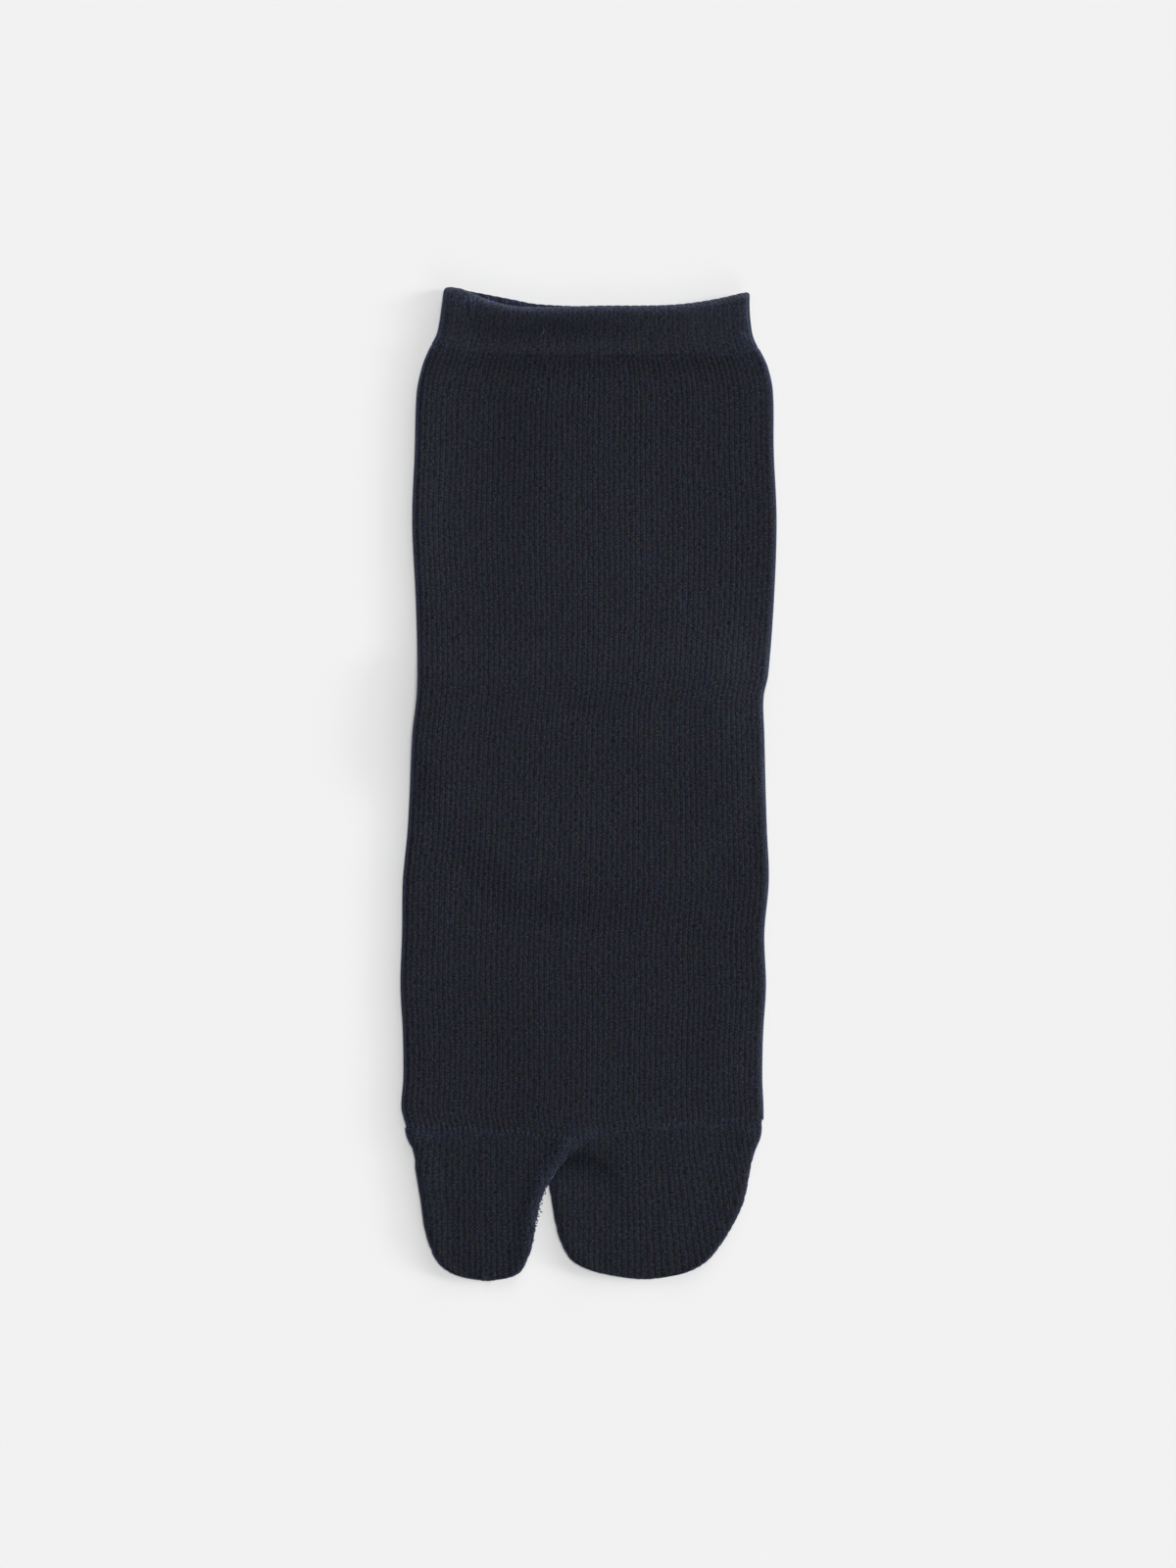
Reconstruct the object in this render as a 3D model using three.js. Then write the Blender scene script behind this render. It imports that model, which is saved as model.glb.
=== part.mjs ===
// A knitted tabi sock for the left foot, laid flat with the instep up.
// Millimetres. +Z is up from the surface it lies on, -Y points to the toes, and +X to the little toe.
// Every section is a ring across the sock: the fold at the right, the upper layer, the fold at the left,
// and the lower layer, which lies on the surface at z = 0.
import * as THREE from "three";

// Cloth
const WALL = 1.2; // one layer of the knit
const WELT_WALL = 1.95; // the cuff's doubled layer, pressed a little by its turn
const SEAM_GAP = 0.3; // between two pieces that are sewn or knitted together

// Thickness of the two layers together, over the side folds and in the middle
const SIDE_THICK = 4.0;
const MIDDLE_THICK = 3.4;
const WELT_SIDE_THICK = 5.2;
const WELT_MIDDLE_THICK = 4.7;
const HEEL_THICK = 2.4; // two layers of the heel cup, folded flat

// The middle is thin as far as this share of the half width, then thickens over the next share
const MIDDLE_SHARE = 0.55;
const THICKENING_SHARE = 0.35;

// The flattening of a pocket's and of the heel's tip: the share of the length where it starts, and how much
// of the thickness squared it takes away
const POCKET_TIP = { from: 0.7, taken: 0.9 };
const HEEL_TIP = { from: 0.8, taken: 0.8 };

// Rings
const FOLD_STEPS = 5; // facets round each side fold
const ACROSS_STEPS = 14; // facets across each layer of the tube, cuff and heel
const BIG_TOE_ACROSS_STEPS = 8;
const FOUR_TOES_ACROSS_STEPS = 10;
const TUBE_STATIONS = 32;
const CUFF_STATIONS = 5;
const RIM_STEPS = 3; // facets over the cuff's rounded rim
const POCKET_STATIONS = 13;
const HEEL_STATIONS = 9;
const STATION_CROWDING = 0.9; // below 1, a pocket's stations sit closer together towards its tip

// How far the foot is raised where it lies on the folded heel
const HEEL_LIFT = HEEL_THICK + SEAM_GAP;
const LIFT_FULL = 5.0; // still fully raised this far outside the heel's outline
const LIFT_END = 12.5; // back on the surface this far outside it

// Outline of the cuff, leg and foot from above, cuff first
const OUTLINE = [
  { y: 122.0, left: -35.3, right: 39.3 },
  { y: 116.2, left: -36.0, right: 39.2 },
  { y: 110.4, left: -37.0, right: 39.8 },
  { y: 107.5, left: -38.4, right: 40.8 },
  { y: 104.6, left: -39.8, right: 42.5 },
  { y: 101.8, left: -40.8, right: 43.7 },
  { y: 96.0, left: -42.0, right: 44.9 },
  { y: 81.6, left: -42.5, right: 45.1 },
  { y: 64.3, left: -43.1, right: 45.8 },
  { y: 44.2, left: -42.2, right: 45.1 },
  { y: 26.9, left: -41.8, right: 43.7 },
  { y: 21.1, left: -42.0, right: 42.5 },
  { y: 12.5, left: -43.0, right: 42.7 },
  { y: -10.6, left: -44.2, right: 43.4 },
  { y: -23.5, left: -45.4, right: 43.9 },
  { y: -36.5, left: -45.6, right: 42.8 },
  { y: -49.4, left: -46.0, right: 43.2 },
  { y: -61.0, left: -45.4, right: 42.5 },
  { y: -72.0, left: -45.3, right: 42.3 },
  { y: -79.0, left: -45.8, right: 42.6 },
  { y: -82.0, left: -45.1, right: 42.5 },
  { y: -88.0, left: -43.4, right: 41.0 },
];

// Outlines of the two toe pockets. Their inner sides meet from the seam down to the crotch at y = -98.
const BIG_TOE = [
  { y: -82.0, left: -45.1, right: -3.6 },
  { y: -86.0, left: -44.6, right: -3.9 },
  { y: -90.2, left: -42.8, right: -5.4 },
  { y: -94.2, left: -42.4, right: -8.2 },
  { y: -97.8, left: -41.8, right: -10.2 },
  { y: -102.7, left: -41.0, right: -12.0 },
  { y: -108.5, left: -40.2, right: -13.2 },
  { y: -113.6, left: -38.7, right: -14.1 },
  { y: -117.1, left: -36.9, right: -15.5 },
  { y: -119.4, left: -34.1, right: -16.9 },
  { y: -120.7, left: -30.6, right: -19.4 },
  { y: -121.5, left: -25.9, right: -23.9 },
];
const FOUR_TOES = [
  { y: -80.0, left: -3.3, right: 42.4 },
  { y: -86.0, left: -3.6, right: 42.0 },
  { y: -90.2, left: -5.1, right: 40.4 },
  { y: -94.2, left: -7.9, right: 39.4 },
  { y: -97.8, left: -9.6, right: 38.8 },
  { y: -102.7, left: -8.9, right: 37.6 },
  { y: -108.5, left: -7.9, right: 34.8 },
  { y: -113.6, left: -6.1, right: 31.5 },
  { y: -117.1, left: -3.4, right: 28.3 },
  { y: -119.4, left: 2.0, right: 24.0 },
  { y: -120.6, left: 8.0, right: 18.8 },
  { y: -121.1, left: 12.0, right: 14.8 },
];
const BIG_TOE_POCKET = { table: BIG_TOE, tip: -121.5, across: BIG_TOE_ACROSS_STEPS };
const FOUR_TOE_POCKET = { table: FOUR_TOES, tip: -121.1, across: FOUR_TOES_ACROSS_STEPS };

// Outline of the heel cup, folded flat under the foot: wide at the ankle, and narrowing to its tip
const HEEL = [
  { y: 20.4, left: -39.6, right: 40.2 },
  { y: 17.6, left: -39.2, right: 39.8 },
  { y: 8.0, left: -33.6, right: 34.0 },
  { y: -6.0, left: -23.4, right: 23.8 },
  { y: -14.0, left: -17.0, right: 17.4 },
  { y: -17.4, left: -12.6, right: 13.0 },
  { y: -18.6, left: -7.0, right: 7.4 },
];

// Lines across the sock, each y at named places of x
const FRONT_RIM = [
  { x: -36.0, y: 121.6 },
  { x: -31.0, y: 120.9 },
  { x: -24.0, y: 118.0 },
  { x: -17.0, y: 116.6 },
  { x: 3.0, y: 116.9 },
  { x: 20.0, y: 117.1 },
  { x: 30.0, y: 118.3 },
  { x: 39.4, y: 120.4 },
];
const BACK_RIM = [
  { x: -36.0, y: 121.6 },
  { x: -29.0, y: 120.5 },
  { x: -19.0, y: 118.6 },
  { x: -12.5, y: 117.4 },
  { x: 3.0, y: 116.8 },
  { x: 20.0, y: 117.0 },
  { x: 30.0, y: 118.2 },
  { x: 39.4, y: 120.4 },
];
const WELT_LINE = [
  { x: -39.0, y: 107.4 },
  { x: -30.0, y: 105.4 },
  { x: -14.0, y: 104.6 },
  { x: 16.0, y: 104.6 },
  { x: 32.0, y: 105.2 },
  { x: 41.5, y: 106.6 },
];
const TOE_SEAM = [
  { x: -45.1, y: -84.0 },
  { x: -24.0, y: -85.0 },
  { x: -9.6, y: -86.3 },
  { x: -2.4, y: -86.2 },
  { x: 9.6, y: -84.6 },
  { x: 43.2, y: -81.7 },
];

const CUFF_HEIGHT = 13;

// Soft troughs (depth below 0) and ridges in the upper layer: their middles, half lengths and half widths, and
// how far each is turned from straight across, in degrees
const CREASES = [
  { name: "ankle", x: -1, y: 17.5, long: 19, wide: 3.6, turn: -8, depth: -0.42 },
  { name: "above the ankle, left", x: -22, y: 25, long: 17, wide: 4.5, turn: 12, depth: 0.3 },
  { name: "above the ankle, right", x: 20, y: 24, long: 18, wide: 4, turn: -10, depth: 0.28 },
  { name: "dimple over the heel", x: -30, y: -9, long: 5, wide: 4, turn: 20, depth: -0.4 },
  { name: "under the heel", x: 4, y: -24, long: 24, wide: 5.5, turn: 4, depth: -0.3 },
  { name: "little toe side", x: 36, y: -41, long: 13, wide: 5, turn: 84, depth: -0.35 },
  { name: "beside the crotch", x: -1.5, y: -92.5, long: 9, wide: 3.4, turn: -24, depth: -0.7 },
];

// The mouth's small gape at the left: the upper layer stands off the lower one
const GAPE = { x: -21, reach: 14, height: 1.3 };

const clamp01 = (t) => Math.min(1, Math.max(0, t));
const smooth = (t) => clamp01(t) ** 2 * (3 - 2 * clamp01(t));
const mix = (a, b, t) => a + (b - a) * t;

// A column of a table at a key, as a smooth curve through its rows
function look(table, key, column, at) {
  const rows = table[0][key] < table.at(-1)[key] ? table : [...table].reverse();
  const t = Math.min(rows.at(-1)[key], Math.max(rows[0][key], at));
  const i = Math.min(rows.length - 2, Math.max(0, rows.findIndex((row) => row[key] >= t) - 1));
  const slope = (j) => {
    const a = rows[Math.max(0, j - 1)];
    const b = rows[Math.min(rows.length - 1, j + 1)];
    return (b[column] - a[column]) / (b[key] - a[key]);
  };
  const step = rows[i + 1][key] - rows[i][key];
  const s = (t - rows[i][key]) / step;
  const bend = s * (1 - s) * step;
  const straight = mix(rows[i][column], rows[i + 1][column], s);
  const chord = (rows[i + 1][column] - rows[i][column]) / step;
  return straight + bend * ((slope(i) - chord) * (1 - s) - (slope(i + 1) - chord) * s);
}

// Distance in the plane from a point to the folded heel, 0 inside its outline
function outsideHeel(x, y) {
  const inside =
    y < HEEL[0].y && y > HEEL.at(-1).y && x > look(HEEL, "y", "left", y) && x < look(HEEL, "y", "right", y);
  if (inside) return 0;
  const leftSide = HEEL.map((row) => [row.left, row.y]);
  const rightSide = [...HEEL].reverse().map((row) => [row.right, row.y]);
  const corners = [...leftSide, ...rightSide];
  const gaps = corners.map(([ax, ay], i) => {
    const [bx, by] = corners[(i + 1) % corners.length];
    const along = clamp01(((x - ax) * (bx - ax) + (y - ay) * (by - ay)) / ((bx - ax) ** 2 + (by - ay) ** 2));
    return Math.hypot(x - mix(ax, bx, along), y - mix(ay, by, along));
  });
  return Math.min(...gaps);
}

// How high the foot is raised at a point by the heel folded under it
function lift(x, y) {
  return HEEL_LIFT * (1 - smooth((outsideHeel(x, y) - LIFT_FULL) / (LIFT_END - LIFT_FULL)));
}

// The height that the creases add at a point of the upper layer
function creased(x, y) {
  return CREASES.reduce((sum, crease) => {
    const turn = (crease.turn * Math.PI) / 180;
    const along = (x - crease.x) * Math.cos(turn) + (y - crease.y) * Math.sin(turn);
    const across = (y - crease.y) * Math.cos(turn) - (x - crease.x) * Math.sin(turn);
    const fade = 1 - smooth(Math.abs(along) / crease.long);
    return sum + crease.depth * fade * Math.exp(-((across / crease.wide) ** 2));
  }, 0);
}

// One ring across the sock, set in from its outside by a wall (0 for the outside itself).
// Each point says how far it is on the upper layer, from 0 on the lower one to 1.
function ring({ left, right, side, middle }, inset, across = ACROSS_STEPS) {
  const centre = (left + right) / 2;
  const half = Math.max(0.3, (right - left) / 2 - inset);
  const sideThick = side - 2 * inset;
  const middleThick = middle - 2 * inset;
  const radius = Math.min(sideThick / 2, half);
  const points = [];
  const add = (x, share) => {
    const u = (x - centre) / half;
    const thick = mix(middleThick, sideThick, smooth((Math.abs(u) - MIDDLE_SHARE) / THICKENING_SHARE));
    points.push({ x, z: inset + thick * share, upper: smooth(share) });
  };
  const fold = (sign, from) => {
    for (let i = 0; i <= FOLD_STEPS; i += 1) {
      const a = from + (Math.PI * i) / FOLD_STEPS;
      add(centre + sign * (half - radius) + radius * Math.cos(a), 0.5 + 0.5 * Math.sin(a));
    }
  };
  const layer = (sign, share) => {
    for (let i = 1; i < across; i += 1) add(centre + sign * (half - radius) * (1 - (2 * i) / across), share);
  };
  fold(1, -Math.PI / 2);
  layer(1, 1);
  fold(-1, Math.PI / 2);
  layer(-1, 0);
  return points;
}

// The station's left and right edges on a slanting or bowed line across the sock
function edges(table, lineY) {
  let left = look(table, "y", "left", lineY(table[0].left));
  let right = look(table, "y", "right", lineY(table[0].right));
  for (let i = 0; i < 4; i += 1) {
    left = look(table, "y", "left", lineY(left));
    right = look(table, "y", "right", lineY(right));
  }
  return { left, right };
}

// A closed mesh from rings of equal count: its ends are closed by fans, or its last ring joins its first
function skin(rings, { closeFirst, closeLast, loop }) {
  const count = rings[0].length;
  const positions = rings.flat().flatMap((p) => [p.x, p.y, p.z]);
  const faces = [];
  const pairs = loop ? rings.length : rings.length - 1;
  for (let r = 0; r < pairs; r += 1) {
    const next = (r + 1) % rings.length;
    for (let k = 0; k < count; k += 1) {
      const a = r * count + k;
      const b = r * count + ((k + 1) % count);
      const c = next * count + ((k + 1) % count);
      const d = next * count + k;
      faces.push(a, b, c, a, c, d);
    }
  }
  const fan = (index, reversed) => {
    const from = rings[index];
    const hub = positions.length / 3;
    const mean = (axis) => from.reduce((sum, p) => sum + p[axis], 0) / count;
    positions.push(mean("x"), mean("y"), mean("z"));
    for (let k = 0; k < count; k += 1) {
      const a = index * count + k;
      const b = index * count + ((k + 1) % count);
      faces.push(hub, reversed ? b : a, reversed ? a : b);
    }
  };
  if (closeFirst) fan(0, true);
  if (closeLast) fan(rings.length - 1, false);
  const geometry = new THREE.BufferGeometry();
  geometry.setAttribute("position", new THREE.Float32BufferAttribute(positions, 3));
  geometry.setIndex(faces);
  return geometry;
}

// The leg and foot: a tube from the welt to the toe seam
function tubeRing(v, inset) {
  const lineY = (x) => mix(look(WELT_LINE, "x", "y", x), look(TOE_SEAM, "x", "y", x) + SEAM_GAP, v);
  const section = { ...edges(OUTLINE, lineY), side: SIDE_THICK, middle: MIDDLE_THICK };
  return ring(section, inset).map((p) => {
    const y = lineY(p.x);
    return { x: p.x, y, z: p.z + lift(p.x, y) + creased(p.x, y) * p.upper };
  });
}

function legFootTube() {
  const rings = [];
  for (let i = 0; i <= TUBE_STATIONS; i += 1) rings.push(tubeRing(i / TUBE_STATIONS, 0));
  for (let i = TUBE_STATIONS; i >= 0; i -= 1) rings.push(tubeRing(i / TUBE_STATIONS, WALL));
  return skin(rings, { loop: true });
}

// The cuff: a doubled band with a rounded rim. v is 0 at the welt line and 1 at the rim.
function cuffRing(v, inset) {
  const lineY = (x, upper) => {
    const rim = mix(look(BACK_RIM, "x", "y", x), look(FRONT_RIM, "x", "y", x), upper);
    return mix(look(WELT_LINE, "x", "y", x) + SEAM_GAP, rim, v);
  };
  const section = {
    ...edges(OUTLINE, (x) => lineY(x, 1)),
    side: WELT_SIDE_THICK,
    middle: WELT_MIDDLE_THICK,
  };
  return ring(section, inset).map((p) => {
    const gape = GAPE.height * smooth(v) * (1 - smooth(Math.abs(p.x - GAPE.x) / GAPE.reach));
    return { x: p.x, y: lineY(p.x, p.upper), z: p.z + gape * p.upper };
  });
}

function cuffBand() {
  const rings = [];
  const rim = 1 - WELT_WALL / 2 / CUFF_HEIGHT; // where the rim's rounding starts, as a share of the height
  for (let i = 0; i < CUFF_STATIONS; i += 1) rings.push(cuffRing((rim * i) / (CUFF_STATIONS - 1), 0));
  for (let i = 1; i < RIM_STEPS; i += 1) {
    const a = (Math.PI * i) / RIM_STEPS;
    rings.push(cuffRing(mix(rim, 1, Math.sin(a)), (WELT_WALL / 2) * (1 - Math.cos(a))));
  }
  for (let i = CUFF_STATIONS - 1; i >= 0; i -= 1) rings.push(cuffRing((rim * i) / (CUFF_STATIONS - 1), WELT_WALL));
  return skin(rings.reverse(), { loop: true });
}

// What is left of the thickness at a share of the length: it rounds down to the tip
function flattened(v, { from, taken }) {
  return Math.sqrt(1 - taken * clamp01((v - from) / (1 - from)) ** 2);
}

// A toe pocket: a cup from the toe seam to its rounded tip
function pocketRing({ table, tip, across }, v, inset) {
  const end = tip + inset;
  const lineY = (x) => mix(look(TOE_SEAM, "x", "y", x), end, v);
  const left = flattened(v, POCKET_TIP);
  const whole = edges(table, (x) => mix(look(TOE_SEAM, "x", "y", x), tip, v));
  const section = {
    ...whole,
    side: 2 * inset + (SIDE_THICK - 2 * inset) * left,
    middle: 2 * inset + (MIDDLE_THICK - 2 * inset) * left,
  };
  return ring(section, inset, across).map((p) => {
    const y = lineY(p.x);
    return { x: p.x, y, z: p.z + creased(p.x, y) * p.upper };
  });
}

function toePocket(pocket) {
  const rings = [];
  const share = (i) => Math.sin((Math.PI / 2) * (i / POCKET_STATIONS)) ** STATION_CROWDING;
  for (let i = POCKET_STATIONS; i >= 0; i -= 1) rings.push(pocketRing(pocket, share(i), 0));
  for (let i = 0; i <= POCKET_STATIONS; i += 1) rings.push(pocketRing(pocket, share(i), WALL));
  return skin(rings.reverse(), { closeFirst: true, closeLast: true });
}

// The heel cup, folded flat: its two layers share one rounded solid
function heelPocket() {
  const rings = [];
  const top = HEEL[0].y;
  const tip = HEEL.at(-1).y;
  for (let i = 0; i <= HEEL_STATIONS; i += 1) {
    const v = i / HEEL_STATIONS;
    const y = mix(top, tip, Math.sin((Math.PI / 2) * v));
    const thick = HEEL_THICK * flattened(v, HEEL_TIP);
    const section = {
      left: look(HEEL, "y", "left", y),
      right: look(HEEL, "y", "right", y),
      side: thick,
      middle: thick,
    };
    rings.push(ring(section, 0).map((p) => ({ x: p.x, y, z: p.z })));
  }
  return skin(rings, { closeFirst: true, closeLast: true });
}

const PIECES = [
  { name: "cuff_band", geometry: cuffBand(), colour: 0x30343e },
  { name: "leg_foot_tube", geometry: legFootTube(), colour: 0x24262d },
  { name: "heel_pocket", geometry: heelPocket(), colour: 0x2a2d36 },
  { name: "big_toe_pocket", geometry: toePocket(BIG_TOE_POCKET), colour: 0x2c3040 },
  { name: "four_toe_pocket", geometry: toePocket(FOUR_TOE_POCKET), colour: 0x282c3a },
];

const sock = new THREE.Group();
for (const { name, geometry, colour } of PIECES) {
  geometry.computeVertexNormals();
  const mesh = new THREE.Mesh(geometry, new THREE.MeshStandardMaterial({ color: colour, roughness: 0.95 }));
  mesh.name = name;
  sock.add(mesh);
}

// The origin is the middle of the sock's underside.
const box = new THREE.Box3().setFromObject(sock);
const middle = box.getCenter(new THREE.Vector3());
for (const mesh of sock.children) mesh.geometry.translate(-middle.x, -middle.y, -box.min.z);

export default sock;
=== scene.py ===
"""A knitted tabi sock for the left foot, laid flat with the instep up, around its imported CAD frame.

Sizes are in millimetres until a mesh is made. x runs to the little toe, y to the cuff, and z up. Each piece
is a thin shell, an outside and an inside one wall apart. Its map is in stitches: u counts the wales, which
run along the sock, and v counts the courses, which run across it. The knit's ribs are in the mesh, and each
stitch is in the material, drawn from that map.
"""
import math

import bpy
import numpy as np
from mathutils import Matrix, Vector
from mathutils.bvhtree import BVHTree


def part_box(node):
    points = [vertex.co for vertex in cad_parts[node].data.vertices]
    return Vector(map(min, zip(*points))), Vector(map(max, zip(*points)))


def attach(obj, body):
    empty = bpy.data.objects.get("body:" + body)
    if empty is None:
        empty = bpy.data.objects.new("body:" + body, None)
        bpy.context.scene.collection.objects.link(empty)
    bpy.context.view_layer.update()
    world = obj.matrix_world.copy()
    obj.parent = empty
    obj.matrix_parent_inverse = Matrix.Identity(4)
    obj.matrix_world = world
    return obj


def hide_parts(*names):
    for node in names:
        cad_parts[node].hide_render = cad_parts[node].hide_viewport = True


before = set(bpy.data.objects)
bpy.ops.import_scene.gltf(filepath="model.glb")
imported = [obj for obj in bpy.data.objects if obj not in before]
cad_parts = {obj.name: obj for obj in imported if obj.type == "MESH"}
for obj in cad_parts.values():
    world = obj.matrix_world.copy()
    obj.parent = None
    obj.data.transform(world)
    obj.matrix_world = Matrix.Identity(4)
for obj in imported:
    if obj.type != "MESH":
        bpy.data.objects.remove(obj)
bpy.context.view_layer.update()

MM = 0.001
RNG = np.random.default_rng(7)

# ---------------------------------------------------------------- sizes, in millimetres

WALL = 1.2
WELT_WALL = 1.95
SIDE_THICK = 4.0
MIDDLE_THICK = 3.4
WELT_SIDE_THICK = 5.2
WELT_MIDDLE_THICK = 4.7
HEEL_THICK = 2.4
HEEL_LIFT = 2.7
LIFT_FULL = 5.0
LIFT_END = 12.5
UPPER_LIFT_END = 17.0  # the upper layer bridges the heel's edge more softly than the lower one

CLOTH_EDGE_ANGLE = 85  # a sharper turn than this, in degrees, is the cloth's cut edge

TUBE_LENGTH = 191  # from the welt to the toe seam
WELT_HEIGHT = 13.0
WALES_ROUND = 140  # ribs round the tube
WALE_START = 0.25  # how far into a wale the mesh's first column is
COURSE = 0.81  # height of one course
TOE_WALE = 1.33  # rib pitch in the toe pockets, which are knitted looser
HEEL_WALE = 1.25
WALE_STEPS = 4  # columns of the mesh for each wale: two legs, and the furrows between them
TUBE_ROW = 1.45  # spacing of the mesh's rows along the leg and foot
INSIDE_ROWS = 14
POCKET_ROWS = 78
BIG_TOE_POINTS, FOUR_TOES_POINTS, HEEL_POINTS = 380, 470, 220  # points round one row
HEEL_ROWS = 30
RIB_DEPTH = 0.20  # furrow between two wales
LEG_DEPTH = 0.03  # furrow between the two legs of a wale
WELT_RIB_DEPTH = 0.09
WELT_FURROWS = 0.35  # how deep the furrows are on the welt, and on the heel, against the leg's
HEEL_FURROWS = 0.6
SEAM_YARN = 0.16  # radius of the linking yarn
SHORT_STITCH, LONG_STITCH = (0.7, 1.5), (1.5, 2.5)  # the shortest and longest of the toe seam's stitches
LONG_STITCHES_END = -22  # the x up to which the seam is stretched, and its stitches are long
BUMP_STEP = 0.62  # between two bumps of the crotch's puckered rim
BUMP_STEP_ACROSS = BUMP_STEP * 1.3
BUMP_LENGTH = (0.4, 0.8)
BUMP_STRAY_ACROSS, BUMP_STRAY = 0.3, 0.25
BUMP_ARCH, STITCH_ARCH, YARN_SUNK = 0.16, 0.15, 0.06  # how high yarns arch, and how deep their ends sink
ZIGZAG = (0.08, 0.42)  # how far the seam's stitches slant, at the left and at the right
FIBRE_LENGTH, FIBRE_RISE, FIBRE_RADIUS = (0.35, 1.1), (0.10, 0.45), (0.010, 0.018)
LOWEST_FIBRE = 0.03
RIM_HIGHLIGHT = 1.6  # painted highlight: how much lighter the rim is, where its fold turns to the light
PUFF = 0.10  # how far the crests of the ribs stand out of the wall
RIM_DROP = 0.9  # how far the welt's upper layer rolls down towards the rim
WELT_RISE = 0.85  # the leg rises to meet the thicker welt
WELT_RISE_REACH = 3.2
WELT_HEM = 0.28  # how much the welt's lower edge rounds in
WELT_TROUGH = 0.32  # a shallow trough along the welt's upper layer

# Outlines, in the columns y, left x and right x. A pocket's last row is its tip.
OUTLINE = (
    (122.0, -35.3, 39.3),
    (116.2, -36.0, 39.2),
    (110.4, -37.0, 39.8),
    (107.5, -38.4, 40.8),
    (104.6, -39.8, 42.5),
    (101.8, -40.8, 43.7),
    (96.0, -42.0, 44.9),
    (81.6, -42.5, 45.1),
    (64.3, -43.1, 45.8),
    (44.2, -42.2, 45.1),
    (26.9, -41.8, 43.7),
    (21.1, -42.0, 42.5),
    (12.5, -43.0, 42.7),
    (-10.6, -44.2, 43.4),
    (-23.5, -45.4, 43.9),
    (-36.5, -45.6, 42.8),
    (-49.4, -46.0, 43.2),
    (-61.0, -45.4, 42.5),
    (-72.0, -45.3, 42.3),
    (-79.0, -45.8, 42.6),
    (-82.0, -45.1, 42.5),
    (-88.0, -43.4, 41.0),
)
BIG_TOE = (
    (-82.0, -45.1, -3.6),
    (-86.0, -44.6, -3.9),
    (-90.2, -42.8, -5.4),
    (-94.2, -42.4, -8.2),
    (-97.8, -41.8, -10.2),
    (-102.7, -41.0, -12.0),
    (-108.5, -40.2, -13.2),
    (-113.6, -38.7, -14.1),
    (-117.1, -36.9, -15.5),
    (-119.4, -34.1, -16.9),
    (-120.7, -30.6, -19.4),
    (-121.5, -25.9, -23.9),
)
FOUR_TOES = (
    (-80.0, -3.3, 42.4),
    (-86.0, -3.6, 42.0),
    (-90.2, -5.1, 40.4),
    (-94.2, -7.9, 39.4),
    (-97.8, -9.6, 38.8),
    (-102.7, -8.9, 37.6),
    (-108.5, -7.9, 34.8),
    (-113.6, -6.1, 31.5),
    (-117.1, -3.4, 28.3),
    (-119.4, 2.0, 24.0),
    (-120.6, 8.0, 18.8),
    (-121.1, 12.0, 14.8),
)
HEEL = (
    (20.4, -39.6, 40.2),
    (17.6, -39.2, 39.8),
    (8.0, -33.6, 34.0),
    (-6.0, -23.4, 23.8),
    (-14.0, -17.0, 17.4),
    (-17.4, -12.6, 13.0),
    (-18.6, -7.0, 7.4),
)

# Lines across the sock, in the columns x and y
FRONT_RIM = (
    (-36.0, 121.6),
    (-31.0, 120.9),
    (-24.0, 118.0),
    (-17.0, 116.6),
    (3.0, 116.9),
    (20.0, 117.1),
    (30.0, 118.3),
    (39.4, 120.4),
)
BACK_RIM = (
    (-36.0, 121.6),
    (-29.0, 120.5),
    (-19.0, 118.6),
    (-12.5, 117.4),
    (3.0, 116.8),
    (20.0, 117.0),
    (30.0, 118.2),
    (39.4, 120.4),
)
WELT_LINE = (
    (-39.0, 107.4),
    (-30.0, 105.4),
    (-14.0, 104.6),
    (16.0, 104.6),
    (32.0, 105.2),
    (41.5, 106.6),
)
TOE_SEAM = (
    (-45.1, -84.0),
    (-24.0, -85.0),
    (-9.6, -86.3),
    (-2.4, -86.2),
    (9.6, -84.6),
    (43.2, -81.7),
)

# The mouth's small gape at the left
GAPE_X, GAPE_REACH, GAPE_HEIGHT = -21.0, 14.0, 1.3

# Soft ridges, and troughs where the height is below 0, in the upper layer. The columns are the middle's x
# and y, half the length and half the width, the turn in degrees and the height.
CREASES = (
    (-1.0, 17.5, 19.0, 3.0, -8.0, -0.50),
    (-22.0, 25.0, 17.0, 4.5, 12.0, 0.30),
    (20.0, 24.0, 18.0, 4.0, -10.0, 0.28),
    (-30.0, -9.0, 5.0, 3.4, 20.0, -0.40),
    (36.0, -41.0, 13.0, 5.0, 84.0, -0.35),
    (4.0, -24.0, 24.0, 5.5, 4.0, -0.30),
    (-12.0, 58.0, 22.0, 7.0, 78.0, 0.16),
    (17.0, 70.0, 26.0, 6.0, 95.0, -0.16),
    (-26.0, -48.0, 20.0, 6.0, 86.0, 0.16),
    (9.0, -58.0, 18.0, 6.0, 93.0, 0.14),
    (-1.0, -85.4, 4.6, 1.5, 4.0, 0.50),
    (-1.0, -88.3, 3.0, 0.8, 62.0, -0.30),
    (39.6, -83.0, 4.0, 0.7, -6.0, -0.50),
    (39.0, -85.0, 5.0, 1.4, -10.0, 0.30),
    (-38.0, -88.5, 5.0, 1.6, 30.0, -0.25),
    (22.0, -101.0, 12.0, 5.0, 70.0, 0.22),
    (-27.0, -103.0, 12.0, 4.5, 84.0, 0.20),
)
CROTCH_Y = -97.8
LAP = 0.5  # how far the big toe's rim laps over the other pocket, above the crotch
FOLD_REACH = 3.2  # how far from their edges the pockets are levelled where they meet
RIM_RIDGE, PUCKER = 0.70, 0.17  # how high the puckered rim stands, and its waves

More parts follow.
